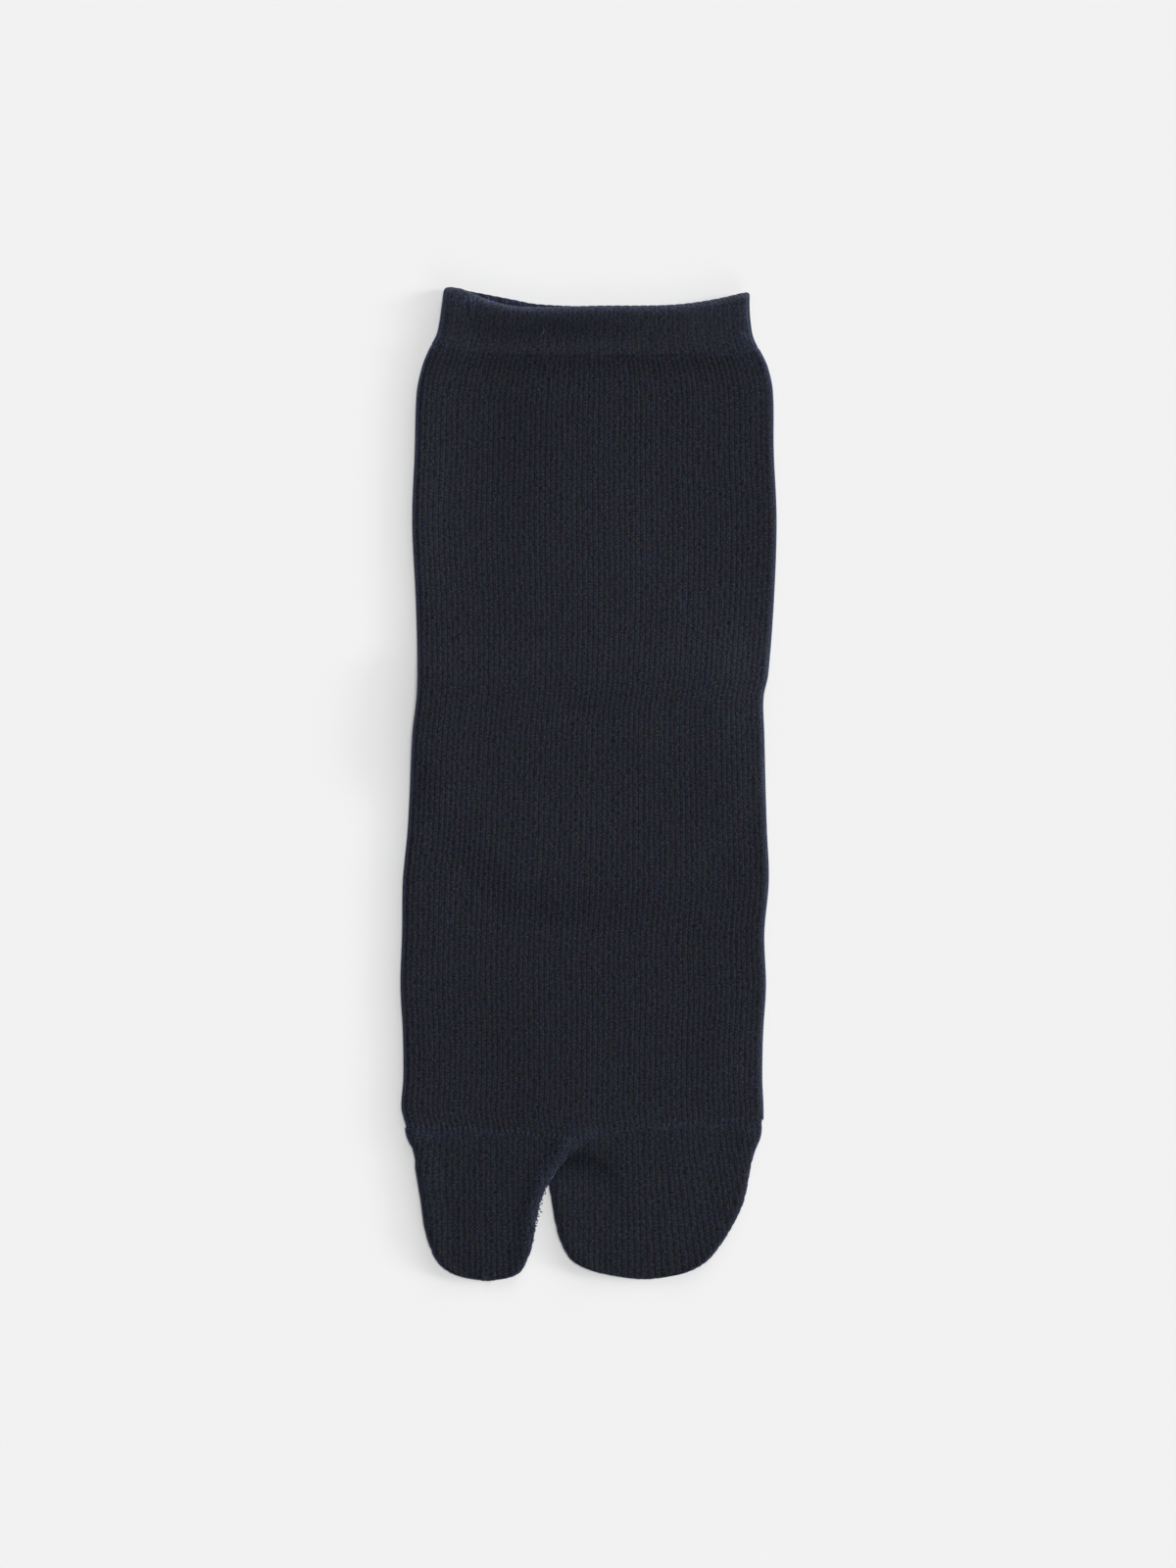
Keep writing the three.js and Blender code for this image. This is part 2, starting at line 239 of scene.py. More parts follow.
# The hollow beside the crotch, in the four-toe pocket: the top of its arch, its depth and how far it fades
HOLLOW_X, HOLLOW_TOP = -2.0, -89.2
HOLLOW_DEPTH = 1.35
HOLLOW_ACROSS, HOLLOW_ALONG = 12.0, 11.0

# The puckered rim beside the crotch, from its top down, in the columns x, y and half its width
RIM_BAND = (
    (1.6, -85.2, 0.7),
    (-0.8, -85.6, 1.2),
    (-3.6, -87.1, 1.7),
    (-6.0, -89.2, 1.8),
    (-8.4, -91.8, 1.8),
    (-10.4, -94.6, 1.7),
    (-11.6, -97.6, 1.6),
    (-12.9, -102.0, 1.4),
    (-14.0, -108.0, 1.1),
    (-14.7, -112.5, 0.8),
)

# Where the knit is lighter, or darker where the tone is below 0. The columns are the middle's x and y,
# the reach across and along the sock, and the tone. The rows follow the sock's light and dark patches. Those
# at the sides, the ankle, the leg's lower right, the welt's right end, over and left of the heel and mid leg
# are painted light, lightening cloth that the lights shade more. Those under the welt, along its trough and
# in the hollow beside the crotch are painted shade.
TONE_AND_PAINTED_LIGHT = (
    (30.0, 37.0, 15.0, 16.0, 0.17),
    (12.0, 62.0, 16.0, 18.0, 0.07),
    (-40.0, 68.0, 7.0, 30.0, 0.20),
    (37.0, 20.0, 6.0, 18.0, 0.26),
    (18.0, 14.0, 9.0, 7.0, 0.09),
    (2.0, 46.0, 16.0, 26.0, 0.04),
    (-36.0, -6.5, 5.0, 6.0, 0.26),
    (-28.5, -15.5, 5.0, 5.5, 0.19),
    (-20.5, -24.5, 5.5, 5.0, 0.15),
    (38.0, -66.0, 5.0, 12.0, 0.11),
    (34.0, 80.0, 9.0, 24.0, 0.04),
    (-18.0, 88.0, 9.0, 16.0, -0.12),
    (-18.0, -74.0, 9.0, 26.0, -0.08),
    (-36.0, -60.0, 10.0, 26.0, -0.05),
    (0.0, -50.0, 40.0, 30.0, -0.04),
    (0.0, -9.0, 16.0, 8.0, 0.07),
    (0.0, 103.2, 44.0, 1.7, -0.14),
    (-8.0, 111.6, 17.0, 2.7, -0.30),
    (28.0, 112.0, 9.0, 6.0, 0.13),
    (-31.0, -108.0, 15.0, 16.0, -0.07),
    (30.0, -92.0, 10.0, 18.0, 0.07),
    (-3.0, -91.8, 4.2, 2.3, -0.38),
    (2.0, -94.0, 6.0, 4.0, -0.16),
    (-1.0, -85.4, 3.0, 1.3, 0.14),
)

# Where pale fibre tips stand out of the knit, in the columns of the tone table above with an amount for the
# tone: at the stretched toe seam, on the welt and its sides, and on the rim's fold. The rows at the right
# side of the welt and leg and on the rim's fold are also painted light, where those edges catch the light. An
# amount below 0 takes some away.
FUZZ_AND_PAINTED_LIGHT = (
    (-40.5, -85.3, 7.5, 1.8, 0.085),
    (-26.0, -85.8, 10.0, 1.4, 0.020),
    (26.0, -83.5, 18.0, 1.0, 0.045),
    (41.5, -84.0, 3.0, 2.2, 0.060),
    (-1.5, -85.5, 3.4, 1.5, 0.060),
    (0.0, 106.4, 40.0, 2.2, 0.006),
    (8.0, 116.0, 32.0, 1.4, 0.085),
    (-34.0, 108.0, 5.0, 8.0, 0.030),
    (38.2, 111.0, 1.6, 9.0, 0.09),
    (41.5, 98.0, 1.6, 9.0, 0.04),
    (-8.0, -94.5, 3.5, 5.0, -0.45),
    (-23.0, 118.3, 11.0, 0.9, 0.30),
)
BAND_FUZZ = 0.065  # on the puckered rim
FOLD_FUZZ_AND_SHEEN = 0.60  # painted sheen, with pale fibre tips, where the cloth turns edge on

SCRAP_RADIUS = 0.09
# Scraps of lint, in the columns x, y, length, turn in degrees and bend
SCRAPS = (
    (-11.0, 110.5, 2.4, 75.0, 0.7),
    (18.7, 115.0, 0.8, 30.0, 0.1),
    (43.2, -25.0, 1.2, 80.0, 0.2),
    (-23.0, -120.0, 1.1, 60.0, 0.3),
)

# Short gathers in the leg, just under the welt, in the columns of CREASES
GATHERS = (
    (-25.5, 100.5, 4.6, 1.3, 86.0, -0.42),
    (-13.0, 101.0, 3.6, 1.1, 92.0, -0.34),
    (-5.0, 101.2, 3.2, 1.0, 88.0, -0.30),
    (9.6, 100.8, 4.2, 1.2, 91.0, -0.38),
    (26.0, 100.6, 4.8, 1.3, 95.0, -0.42),
)


# ---------------------------------------------------------------- tables, lines and sections


def clamp01(t):
    return np.clip(t, 0.0, 1.0)


def smooth(t):
    t = clamp01(t)
    return t * t * (3 - 2 * t)


def mix(a, b, t):
    return a + (b - a) * t


def look(table, at, column=1):
    """A column of a table at values of its first column, as a smooth curve through its rows."""
    rows = np.array(sorted(table), float)
    keys = rows[:, 0]
    values = rows[:, column]
    before = np.r_[0, np.arange(len(keys) - 1)]
    after = np.r_[np.arange(1, len(keys)), len(keys) - 1]
    slope = (values[after] - values[before]) / (keys[after] - keys[before])
    t = np.clip(at, keys[0], keys[-1])
    i = np.clip(np.searchsorted(keys, t) - 1, 0, len(keys) - 2)
    step = keys[i + 1] - keys[i]
    s = (t - keys[i]) / step
    chord = (values[i + 1] - values[i]) / step
    bend = s * (1 - s) * step * ((slope[i] - chord) * (1 - s) - (slope[i + 1] - chord) * s)
    return mix(values[i], values[i + 1], s) + bend


def outside_heel(x, y):
    """Distance in the plane to the folded heel's outline, below 0 inside it."""
    rows = np.array(HEEL)
    corners = np.concatenate([rows[:, [1, 0]], rows[::-1][:, [2, 0]]])
    best = np.full(np.shape(x), 1e9)
    for a, b in zip(corners, np.roll(corners, -1, axis=0)):
        along = clamp01(((x - a[0]) * (b[0] - a[0]) + (y - a[1]) * (b[1] - a[1])) / ((b - a) ** 2).sum())
        best = np.minimum(best, np.hypot(x - mix(a[0], b[0], along), y - mix(a[1], b[1], along)))
    inside = (y < HEEL[0][0]) & (y > HEEL[-1][0]) & (x > look(HEEL, y, 1)) & (x < look(HEEL, y, 2))
    return np.where(inside, 0.0, best)


def lift(x, y, end):
    """How high a layer is raised by the heel folded under it."""
    return HEEL_LIFT * (1 - smooth((outside_heel(x, y) - LIFT_FULL) / (end - LIFT_FULL)))


def creased(x, y, table):
    """The height that a table of troughs and ridges adds."""
    total = np.zeros(np.shape(x))
    for cx, cy, long, wide, turn, depth in table:
        c, s = math.cos(math.radians(turn)), math.sin(math.radians(turn))
        along = (x - cx) * c + (y - cy) * s
        across = (y - cy) * c - (x - cx) * s + 0.12 * along * along / long
        total += depth * np.exp(-((across / wide) ** 2)) * (1 - smooth(np.abs(along) / long))
    return total


def edges(table, line):
    """Where a line across the sock meets the outline: its left and right x."""
    left, right = table[0][1], table[0][2]
    for _ in range(6):
        left = float(look(table, line(left), 1))
        right = float(look(table, line(right), 2))
    return left, right


def between(first, second, share):
    """The line that lies a share of the way from one line across the sock to another."""
    def line(x):
        return mix(look(first, x), look(second, x), share)
    return line


def seam_line(x):
    return look(TOE_SEAM, x)


def section(left, right, side, middle, inset, count):
    """count points round a flattened ring, at equal steps along it, from the left fold over the upper layer.

    Returns x, the height z, and how far each point is on the upper layer, 0 to 1."""
    centre, half = (left + right) / 2, max(0.25, (right - left) / 2 - inset)
    deep, shallow = side - 2 * inset, middle - 2 * inset
    radius = min(deep / 2, half)
    flat = half - radius
    quarter = 12
    turn = np.linspace(0, math.pi, 2 * quarter + 1)
    run = np.linspace(-1, 1, 120)[1:-1] * flat
    first, back = turn[:quarter + 1], turn[quarter::-1]
    x = np.concatenate([
        -flat - radius * np.cos(first), run, flat + radius * np.cos(back),
        flat + radius * np.cos(first[1:]), -run, -flat - radius * np.cos(back[:-1]),
    ])
    share = np.concatenate([
        0.5 + 0.5 * np.sin(first), np.ones(run.size), 0.5 + 0.5 * np.sin(back),
        0.5 - 0.5 * np.sin(first[1:]), np.zeros(run.size), 0.5 - 0.5 * np.sin(back[:-1]),
    ])
    thick = mix(shallow, deep, smooth((np.abs(x) / half - 0.55) / 0.35))
    z = inset + thick * share
    loop = np.stack([np.r_[x, x[0]], np.r_[z, z[0]], np.r_[share, share[0]]])
    length = np.r_[0, np.cumsum(np.hypot(np.diff(loop[0]), np.diff(loop[1])))]
    at = np.arange(count) / count * length[-1]
    x, z, share = (np.interp(at, length, values) for values in loop)
    return centre + x, z, share


def grown(points, amount):
    """A grid of points (rows, round, xyz), closed round each row, moved out along its normals."""
    along = np.gradient(points, axis=0)
    across = np.roll(points, -1, axis=1) - np.roll(points, 1, axis=1)
    normal = np.cross(along, across)
    normal /= np.maximum(np.linalg.norm(normal, axis=2, keepdims=True), 1e-9)
    return points + normal * amount[..., None]


def wander(u, v, seed, scale_u, scale_v, octaves=2):
    """Smooth seeded noise over stitch numbers, about -1 to 1."""
    total = np.zeros(np.broadcast(u, v).shape)
    size = 64
    for octave in range(octaves):
        grid = np.random.default_rng(seed + octave).uniform(-1, 1, (size, size))
        a = u / scale_u * 2**octave
        b = v / scale_v * 2**octave
        i, j = np.floor(a).astype(int), np.floor(b).astype(int)
        s, t = smooth(a - i), smooth(b - j)
        i, j, i_next, j_next = i % size, j % size, (i + 1) % size, (j + 1) % size
        near = mix(grid[i, j], grid[i_next, j], s)
        far = mix(grid[i, j_next], grid[i_next, j_next], s)
        total += mix(near, far, t) / 2**octave
    return total


def furrows(u):
    """The ribs' height at a wale number: 0 on a leg's crest, and below 0 in the furrows."""
    a = np.abs((u % 1.0) - 0.5) * 2
    between = np.clip((a - 0.5) * 2, 0, 1) ** 1.5
    inside = np.clip((0.5 - a) * 2, 0, 1) ** 1.5
    return -RIB_DEPTH * between - LEG_DEPTH * inside


# ---------------------------------------------------------------- meshes


def ring_quads(count, r, q):
    """The corners of the faces between two rings of count points, the rings r and q of a mesh."""
    column = np.arange(count)
    after = (column + 1) % count
    return np.stack([r * count + column, r * count + after, q * count + after, q * count + column], 1)


def shell(name, outside, inside, u, v, closed_tip=False, painted_highlight=0.0):
    """One closed mesh from an outer and an inner grid (rows, round, xyz) that share their first row's edge.

    u and v are the outside's stitch numbers: u for each column with one more for the wrap, v for each row.
    The last argument is a painted highlight: how much lighter than its surroundings the outside is."""
    rows, count = outside.shape[:2]
    lighter = np.concatenate([np.broadcast_to(painted_highlight, (rows, count))[::-1], np.zeros(inside.shape[:2])])
    inner_rows = inside.shape[0]
    grid = np.concatenate([outside[::-1], inside])
    vertices = grid.reshape(-1, 3)
    total = rows + inner_rows
    faces, corners_u, corners_v = [], [], []
    row_v = np.concatenate([v[::-1], mix(v[:1], v[-1:], np.linspace(0, 1, inner_rows)[:, None])])
    row_u = np.concatenate([u[::-1], np.repeat(u[:1], inner_rows, axis=0)])
    for r in range(total - 1 if closed_tip else total):
        q = (r + 1) % total
        faces.append(ring_quads(count, r, q))
        corners_u.append(np.stack([row_u[r, :-1], row_u[r, 1:], row_u[q, 1:], row_u[q, :-1]], 1))
        corners_v.append(np.stack([row_v[r, :-1], row_v[r, 1:], row_v[q, 1:], row_v[q, :-1]], 1))
    polygons = [tuple(face) for face in np.concatenate(faces)[:, ::-1].tolist()]
    maps = np.stack([np.concatenate(corners_u), np.concatenate(corners_v)], 2)[:, ::-1].reshape(-1, 2)
    if closed_tip:
        outer_cap = tuple(range(count))
        inner_cap = tuple(range((total - 1) * count, total * count))[::-1]
        for cap, r in ((outer_cap, 0), (inner_cap, total - 1)):
            polygons.append(cap)
            maps = np.concatenate([maps, np.repeat([[row_u[r].mean(), row_v[r].mean()]], count, axis=0)])
    return make_mesh(name, vertices, polygons, maps, lighter.ravel())


def painted_light_tone_at(vertices):
    """How much lighter or darker the tone patches, painted light and shade, make each vertex."""
    x, y = vertices[:, 0], vertices[:, 1]
    total = np.zeros(len(vertices))
    for cx, cy, across, along, tone in TONE_AND_PAINTED_LIGHT:
        total += tone * np.exp(-(((x - cx) / across) ** 2) - ((y - cy) / along) ** 2)
    return total


def fuzz_and_sheen(vertices, normals):
    """How many pale fibre tips show at each vertex, with painted sheen where the cloth turns edge on, 0 to 1.
    """
    x, y = vertices[:, 0], vertices[:, 1]
    total = FOLD_FUZZ_AND_SHEEN * (1 - np.abs(normals[:, 2])) ** 3
    for cx, cy, across, along, amount in FUZZ_AND_PAINTED_LIGHT:
        total += amount * np.exp(-(((x - cx) / across) ** 2) - ((y - cy) / along) ** 2)
    band = np.array(RIM_BAND)
    for a, b in zip(band, band[1:]):
        run = b[:2] - a[:2]
        share = clamp01(((x - a[0]) * run[0] + (y - a[1]) * run[1]) / (run @ run))
        near = np.hypot(x - a[0] - share * run[0], y - a[1] - share * run[1]) / mix(a[2], b[2], share)
        total = np.maximum(total, BAND_FUZZ * (1 - smooth(near - 0.6)))
    return clamp01(total)


def make_mesh(name, vertices_mm, polygons, maps=None, lighter=0.0):
    mesh = bpy.data.meshes.new(name)
    placed = np.asarray(vertices_mm, float) + [SHIFT.x, SHIFT.y, 0]
    mesh.from_pydata((placed * MM).tolist(), [], polygons)
    mesh.polygons.foreach_set("use_smooth", np.ones(len(polygons), bool))
    if maps is not None:
        layer = mesh.uv_layers.new(name="knit")
        layer.uv.foreach_set("vector", maps.astype(np.float32).ravel())
        # Per vertex: the tone patches, with painted light and shade, and the rim's painted highlight
        painted_light_tone = mesh.attributes.new("painted_light_tone", "FLOAT", "POINT")
        tone = painted_light_tone_at(np.asarray(vertices_mm)) + lighter
        painted_light_tone.data.foreach_set("value", tone.astype(np.float32))
        mesh.update()
        normals = np.empty(len(mesh.vertices) * 3)
        mesh.vertices.foreach_get("normal", normals)
        # Per vertex: pale fibre tips, with painted sheen where the cloth turns edge on
        fuzz_and_sheen_amount = mesh.attributes.new("fuzz_and_sheen", "FLOAT", "POINT")
        shows = fuzz_and_sheen(np.asarray(vertices_mm), normals.reshape(-1, 3))
        fuzz_and_sheen_amount.data.foreach_set("value", shows.astype(np.float32))
    mesh.update()
    mesh.set_sharp_from_angle(angle=math.radians(CLOTH_EDGE_ANGLE))
    piece = bpy.data.objects.new(name, mesh)
    bpy.context.scene.collection.objects.link(piece)
    return piece


# The tables' own zero is this far from the frame's origin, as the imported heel's corner shows.
heel_low, heel_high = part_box("heel_pocket")
SHIFT = Vector((heel_low.x / MM - HEEL[0][1], heel_high.y / MM - HEEL[0][0], 0))


def tube_grid(shares, inset, count):
    """Rows of the leg and foot at shares of the way from the welt to the toe seam."""
    grid, upper = [], []
    for share_along in shares:
        line = between(WELT_LINE, TOE_SEAM, share_along)
        x, z, share = section(*edges(OUTLINE, line), SIDE_THICK, MIDDLE_THICK, inset, count)
        y = line(x)
        below_welt = look(WELT_LINE, x) - y
        z = z + WELT_RISE * share * np.exp(-((below_welt / WELT_RISE_REACH) ** 2))
        grid.append(np.stack([x, y, z], 1))
        upper.append(share)
    grid, upper = np.array(grid), np.array(upper)
    x, y = grid[..., 0], grid[..., 1]
    high = lift(x, y, UPPER_LIFT_END) + creased(x, y, CREASES) + creased(x, y, GATHERS)
    grid[..., 2] += mix(lift(x, y, LIFT_END), high, smooth(upper))
    return grid, upper


def leg_foot():
    count = WALES_ROUND * WALE_STEPS
    rows = int(TUBE_LENGTH / TUBE_ROW)
    shares = np.linspace(0, 1, rows + 1)
    outside, _ = tube_grid(shares, 0.0, count)
    inside, _ = tube_grid(np.linspace(0, 1, INSIDE_ROWS), WALL, count)
    u = np.broadcast_to(np.arange(count + 1) / WALE_STEPS, (rows + 1, count + 1))
    v = np.broadcast_to((shares * TUBE_LENGTH / COURSE)[:, None], (rows + 1, count + 1))
    drawn = 1 + 0.5 * wander(u[:, :-1], v[:, :-1], 11, 1.0, 22.0)
    ribs = furrows(u[:, :-1] + WALE_START) * drawn
    outside = grown(outside, PUFF + ribs)
    return shell("leg_foot", outside, inside, u + WALE_START, v)


def cuff_grid(shares, insets, count):
    """Rows of the welt at shares of the way to the rim, and how far each point is on the upper layer."""
    grid = []
    for share_along, inset in zip(shares, insets):
        front = between(WELT_LINE, FRONT_RIM, share_along)
        back = between(WELT_LINE, BACK_RIM, share_along)
        x, z, share = section(*edges(OUTLINE, front), WELT_SIDE_THICK, WELT_MIDDLE_THICK, inset, count)
        gape = GAPE_HEIGHT * smooth(share_along) * (1 - smooth(np.abs(x - GAPE_X) / GAPE_REACH))
        y = mix(back(x), front(x), smooth(share))
        roll = -RIM_DROP * smooth((share_along - 0.72) / 0.28) ** 2
        trough = -WELT_TROUGH * np.exp(-(((share_along - 0.30) / 0.16) ** 2))
        grid.append(np.stack([x, y, z + (gape + roll + trough) * smooth(share), share], 1))
    grid = np.array(grid)
    return grid[..., :3], smooth(grid[..., 3])


def cuff():
    count = WALES_ROUND * WALE_STEPS
    rim = 1 - WELT_WALL / 2 / WELT_HEIGHT
    flat_rows, rim_rows = 30, 7
    turn = np.linspace(0, math.pi, rim_rows + 2)[1:-1]
    level = np.r_[0, 0.008, 0.02, np.linspace(0.04, rim, flat_rows - 3)]
    shares = np.r_[level, mix(rim, 1, np.sin(turn))]
    hem = WELT_HEM * (1 - smooth(level / 0.03)) ** 2
    insets = np.r_[hem, WELT_WALL / 2 * (1 - np.cos(turn))]
    outside, upper = cuff_grid(shares, insets, count)
    inside, _ = cuff_grid(np.linspace(rim, 0, INSIDE_ROWS), np.full(INSIDE_ROWS, WELT_WALL), count)
    u = np.broadcast_to(np.arange(count + 1) / WALE_STEPS, (len(shares), count + 1))
    along = np.r_[shares[:flat_rows] * WELT_HEIGHT, rim * WELT_HEIGHT + WELT_WALL / 2 * turn]
    v = np.broadcast_to((along / COURSE)[:, None], u.shape)
    wale = u[:, :-1] + WALE_START
    ribs = furrows(wale) * WELT_FURROWS - WELT_RIB_DEPTH * (0.5 - 0.5 * np.cos(math.pi * wale))
    outside = grown(outside[::-1], PUFF + ribs[::-1])[::-1]
    # A painted highlight along the rim, where its fold turns to the light
    painted_highlight = RIM_HIGHLIGHT * smooth((shares - 0.84) / 0.16)[:, None] * upper
    return shell("cuff", outside[::-1], inside, u[::-1], v[::-1], painted_highlight=painted_highlight[::-1])


def pocket(name, table, count, slant, shape):
    """A toe pocket. Its wales run along the foot, turned by slant where the pocket rounds off.

    shape moves the points of both sides, given them and how far each is on the upper layer."""
    tip = table[-1][0]

    def grid_at(rows, inset):
        grid = []
        for share_along in np.sin(math.pi / 2 * np.linspace(0, 1, rows)) ** 0.9:
            whole = edges(table, lambda x: mix(seam_line(x), tip, share_along))
            rounding = math.sqrt(1 - 0.9 * float(clamp01((share_along - 0.7) / 0.3)) ** 2)
            side = 2 * inset + (SIDE_THICK - 2 * inset) * rounding
            middle = 2 * inset + (MIDDLE_THICK - 2 * inset) * rounding
            x, z, upper = section(*whole, side, middle, inset, count)
            grid.append(np.stack([x, mix(seam_line(x), tip + inset, share_along), z, upper], 1))
        grid = np.array(grid)
        return shape(grid[..., :3], grid[..., 3])

    outside = grid_at(POCKET_ROWS + 1, 0.0)
    inside = grid_at(INSIDE_ROWS, WALL)
    x, y = outside[..., 0], outside[..., 1]
    u = (x + slant(x, y)) / TOE_WALE
    v = -y / COURSE
    drawn = 1 + 0.4 * wander(u, v, 23, 1.0, 16.0)
    outside = grown(outside, PUFF + furrows(u) * drawn)
    u, v = np.c_[u, u[:, :1]], np.c_[v, v[:, :1]]
    return shell(name, outside, inside, u, v, closed_tip=True)


def squared(y, share, from_edge):
    """Above the crotch the pockets' upper layers meet edge to edge: what lifts their rounded folds level."""
    near = smooth(1 - from_edge / FOLD_REACH) * smooth((y + 93.5) / 4)
    return SIDE_THICK * (1 - share) * near * smooth((share - 0.45) / 0.3)


def big_toe_shape(points, share):
    """The rim beside the crotch: a puckered ridge that laps a little over the other pocket."""
    x, y = points[..., 0], points[..., 1]
    upper = smooth(share)
    from_edge = look(BIG_TOE, y, 2) - x
    above_crotch = smooth((y - CROTCH_Y + 1.0) / 2.5)
    pucker = PUCKER * np.sin(2 * math.pi * (y * 1.2 + 0.35 * x) / 1.5) * (0.6 + 0.4 * np.sin(1.1 * y))
    fade = mix(0.30, 1.0, smooth((y - CROTCH_Y + 9) / 10))
    ridge = (RIM_RIDGE + pucker) * np.exp(-(((from_edge - 1.7) / 1.5) ** 2)) * fade
    behind = -0.30 * np.exp(-(((from_edge - 5.6) / 2.0) ** 2)) * fade
    moved = points.copy()
    moved[..., 0] += LAP * above_crotch * smooth(1 - from_edge / FOLD_REACH)
    moved[..., 2] += squared(y, share, from_edge) + (ridge + behind + creased(x, y, CREASES)) * upper
    return moved


def four_toes_shape(points, share):
    """Beside the crotch the upper layer dips into a hollow under an arch, and rises again away from it."""
    x, y = points[..., 0], points[..., 1]
    arch = HOLLOW_TOP - 0.085 * np.maximum(0, x - HOLLOW_X) ** 2
    below = arch - y
    into = smooth(below / 2.6) * (1 - smooth((below - 3.0) / HOLLOW_ALONG))
    hollow = -HOLLOW_DEPTH * into * (1 - smooth((x - HOLLOW_X) / HOLLOW_ACROSS))
    moved = points.copy()
    from_edge = x - look(FOUR_TOES, y, 1)
    moved[..., 2] += squared(y, share, from_edge) + (hollow + creased(x, y, CREASES)) * smooth(share)
    return moved


def heel_fold():
    """The heel cup's two layers as one solid, folded flat under the foot."""
    count, rows = HEEL_POINTS, HEEL_ROWS
    along = np.sin(math.pi / 2 * np.linspace(0, 1, rows + 1))
    grid = []
    for share_along in along:
        y = mix(HEEL[0][0], HEEL[-1][0], share_along)
        rounding = math.sqrt(1 - 0.8 * float(clamp01((share_along - 0.8) / 0.2)) ** 2)
        thick = HEEL_THICK * rounding
        x, z, _ = section(float(look(HEEL, y, 1)), float(look(HEEL, y, 2)), thick, thick, 0.0, count)
        grid.append(np.stack([x, np.full(count, y), z], 1))
    grid = np.array(grid)
    u = grid[..., 0] / HEEL_WALE
    v = grid[..., 1] / COURSE
    grid = grown(grid, furrows(u) * HEEL_FURROWS)
    polygons, maps = [], []
    for r in range(rows):
        quad = ring_quads(count, r, r + 1)
        polygons += [tuple(face) for face in quad.tolist()]
        flat = quad.ravel()
        maps.append(np.stack([u.ravel()[flat], v.ravel()[flat]], 1))
    for r, cap in ((0, tuple(range(count))[::-1]), (rows, tuple(range(rows * count, (rows + 1) * count)))):
        polygons.append(cap)
        maps.append(np.stack([u.ravel()[list(cap)], v.ravel()[list(cap)]], 1))
    return make_mesh("heel_fold", grid.reshape(-1, 3), polygons, np.concatenate(maps))


def big_toe_slant(x, y):
    """How far the wales have moved sideways: they lean in at the left of the seam, and fan out at the tip."""
    lean = 0.17 * smooth((-30 - x) / 14) * (-84 - y)
    fan = -0.10 * smooth((x + 24) / 12) * np.maximum(0, -104 - y)
    return lean * (1 - smooth((-92 - y) / 14)) + fan


def four_toes_slant(x, y):
    return 0.14 * smooth((x - 5) / 30) * (y + 85)


pieces = {
    "leg_foot": leg_foot(),
    "cuff": cuff(),
    "big_toe": pocket("big_toe", BIG_TOE, BIG_TOE_POINTS, big_toe_slant, big_toe_shape),
    "four_toes": pocket("four_toes", FOUR_TOES, FOUR_TOES_POINTS, four_toes_slant, four_toes_shape),
    "heel_fold": heel_fold(),
}


def yarns(name, paths, radius, sides=5):
    """One mesh of many short tapering yarns, each a path of points (n, 3) in millimetres."""
    vertices, polygons = [], []
    turn = np.arange(sides) / sides * 2 * math.pi
    for path, thick in zip(paths, np.broadcast_to(radius, len(paths))):
        along = np.gradient(path, axis=0)
        along /= np.maximum(np.linalg.norm(along, axis=1, keepdims=True), 1e-9)
        aside = np.cross(along, [0.31, 0.2, 0.93])
        aside /= np.maximum(np.linalg.norm(aside, axis=1, keepdims=True), 1e-9)
        over = np.cross(along, aside)
        taper = thick * np.sqrt(np.sin(math.pi * mix(0.08, 0.92, np.linspace(0, 1, len(path)))))
        ring = np.cos(turn)[:, None] * aside[:, None] + np.sin(turn)[:, None] * over[:, None]
        start = len(vertices) * sides
        vertices += list(path[:, None] + ring * taper[:, None, None])
        for r in range(len(path) - 1):
            for k in range(sides):
                q = (k + 1) % sides
                polygons.append((start + r * sides + k, start + r * sides + q,
                                 start + (r + 1) * sides + q, start + (r + 1) * sides + k))
        polygons.append(tuple(range(start, start + sides))[::-1])
        last = start + (len(path) - 1) * sides
        polygons.append(tuple(range(last, last + sides)))
    return make_mesh(name, np.concatenate(vertices), polygons)


def surface(*names):
    """The outsides of pieces as one tree for casting rays, in metres."""
    vertices, polygons = [], []
    for name in names:
        mesh = pieces[name].data
        start = len(vertices)
        vertices += [v.co for v in mesh.vertices]
        polygons += [[start + i for i in polygon.vertices] for polygon in mesh.polygons]
    return BVHTree.FromPolygons(vertices, polygons)


def settled(path, tree, clear):
    """A path over the upper layer, each point dropped to that clearance over the cloth under it."""
    low = []
    for x, y, z in path:
        over = Vector(((x + SHIFT.x) * MM, (y + SHIFT.y) * MM, 0.05))
        hit = tree.ray_cast(over, Vector((0, 0, -1)))[0]
        low.append(hit.z / MM if hit else z)
    path = path.copy()
    path[:, 2] = np.array(low) + clear
    return path


